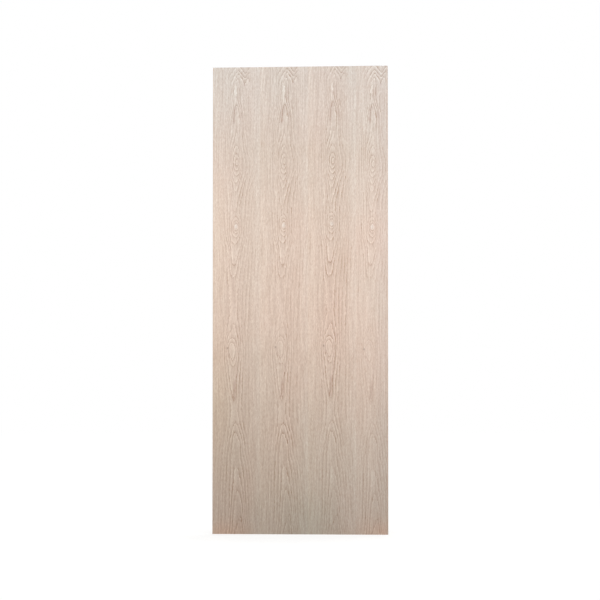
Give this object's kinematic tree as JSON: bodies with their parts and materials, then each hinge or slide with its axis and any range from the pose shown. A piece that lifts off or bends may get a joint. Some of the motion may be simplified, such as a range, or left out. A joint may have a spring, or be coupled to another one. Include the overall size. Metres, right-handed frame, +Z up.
{
  "type": "flush hollow core door",
  "caption": "Flush hollow core interior door leaf with a paper honeycomb between skins faced in crown-cut oak veneer, unbored and without hardware.",
  "frame": {"origin": "on the outer face of the hinge edge, at the foot of the leaf, midway through its thickness", "axes": "+X from the hinge edge to the lock edge, +Y from the front face to the back face, +Z up"},
  "size_m": [0.762, 0.035, 2.032],
  "materials": {
    "front_veneer": "plain-sliced oak veneer, sanded, with a thin clear matt finish",
    "back_veneer": "plain-sliced oak veneer, sanded, with a thin clear matt finish",
    "edge_banding": "straight-grained oak, sanded, with a thin clear matt finish",
    "hardboard_skin": "sawn edge of brown pressed hardboard",
    "stile_wood": "raw softwood, sawn end grain",
    "rail_wood": "raw softwood, planed edge grain",
    "lock_block_wood": "raw softwood",
    "kraft_paper": "brown kraft paper"
  },
  "bodies": {
    "root": {"front_veneer_leaf_1": "front_veneer", "front_veneer_leaf_2": "front_veneer", "front_veneer_leaf_3": "front_veneer", "front_veneer_leaf_4": "front_veneer", "back_veneer_leaf_1": "back_veneer", "back_veneer_leaf_2": "back_veneer", "back_veneer_leaf_3": "back_veneer", "back_veneer_leaf_4": "back_veneer", "hinge_edge_band": "edge_banding", "lock_edge_band": "edge_banding", "front_skin": "hardboard_skin", "back_skin": "hardboard_skin", "hinge_stile": "stile_wood", "lock_stile": "stile_wood", "top_rail": "rail_wood", "bottom_rail": "rail_wood", "hinge_side_lock_block": "lock_block_wood", "lock_side_lock_block": "lock_block_wood", "honeycomb_strips_odd": "kraft_paper", "honeycomb_strips_even": "kraft_paper"}
  },
  "joints": []
}
